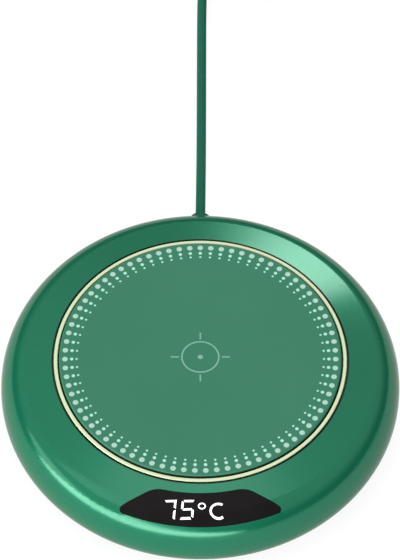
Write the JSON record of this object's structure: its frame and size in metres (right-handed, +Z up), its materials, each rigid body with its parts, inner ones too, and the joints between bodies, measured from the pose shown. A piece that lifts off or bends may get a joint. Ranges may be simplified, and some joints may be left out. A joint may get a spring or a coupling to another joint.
{
  "type": "electric mug warmer",
  "caption": "Low round electric mug warmer with a sprung heating plate, trim ring, flush touch display window and a lead with a plug.",
  "frame": {"origin": "on the table, under the middle of the round body", "axes": "+Z up through the heating plate; the display faces -Y and the lead leaves at +Y"},
  "size_m": [0.1651, 0.29, 0.025],
  "materials": {
    "housing": "pearl lacquer, satin",
    "cover": "fine moulded grain",
    "ring": "pale gold anodised, satin",
    "plate": "matt baked lacquer with printed dots",
    "spreader": "rolled",
    "film": "amber film",
    "mica": "pressed mica",
    "black_plastic": "heat-proof plastic",
    "spring_wire": "bright wire",
    "fuse": "tinned can",
    "sensor": "glass bead",
    "white_wire": "silicone",
    "black_wire": "silicone",
    "board": "solder mask",
    "screws": "zinc plated",
    "chip": "moulded epoxy",
    "ferrite": "sintered",
    "can": "drawn can",
    "white_plastic": "moulded",
    "window": "dark tinted, polished",
    "display": "white light box",
    "flat_cable": "flat flex",
    "feet": "soft moulded",
    "cord": "matt jacket",
    "core": "wire insulation",
    "plug_metal": "nickel plated",
    "gold": "gold plated"
  },
  "bodies": {
    "base": {"top_housing": "housing", "bottom_cover": "cover", "trim_ring": "ring", "plate_springs": "spring_wire", "heater_leads": "white_wire", "sensor_leads": "black_wire", "control_board": "board", "board_screws": "screws", "microcontroller": "chip", "power_transistor": "chip", "choke": "ferrite", "capacitors": "can", "cord_connector": "white_plastic", "switch_body": "black_plastic", "display_window": "window", "display_module": "display", "display_board": "board", "display_screws": "screws", "display_cable": "flat_cable", "touch_spring": "spring_wire", "housing_screws": "screws", "rubber_feet": "feet", "strain_relief": "cord", "cord_end": "cord", "cord_clamp": "black_plastic", "clamp_screws": "screws", "cord_cores": "core", "power_cord": "cord", "cord_coil": "cord", "cord_tail": "cord", "plug_body": "cord", "plug_shell": "plug_metal", "plug_tongue": "white_plastic", "plug_contacts": "gold"},
    "plate": {"heating_plate": "plate", "heat_spreader": "spreader", "heating_film": "film", "mica_sheet": "mica", "plate_carrier": "black_plastic", "thermal_fuse": "fuse", "thermistor": "sensor", "sensor_clip": "spring_wire", "fuse_link": "white_wire"},
    "plunger": {"switch_plunger": "white_plastic"}
  },
  "joints": [
    {"name": "plate_press", "type": "slide", "parent": "base", "child": "plate", "axis": [0, 0, 1], "range_m": [-0.0008, 0], "stiffness_N_per_m": 1500, "springref_m": 0.0015, "deforming": ["plate_springs", "heater_leads", "sensor_leads"]},
    {"name": "plunger_press", "type": "slide", "parent": "base", "child": "plunger", "axis": [0, 0, 1], "range_m": [-0.00081, 0]}
  ],
  "couplings": [
    {"joint": "plunger_press", "follows": "plate_press", "ratio": 1}
  ]
}
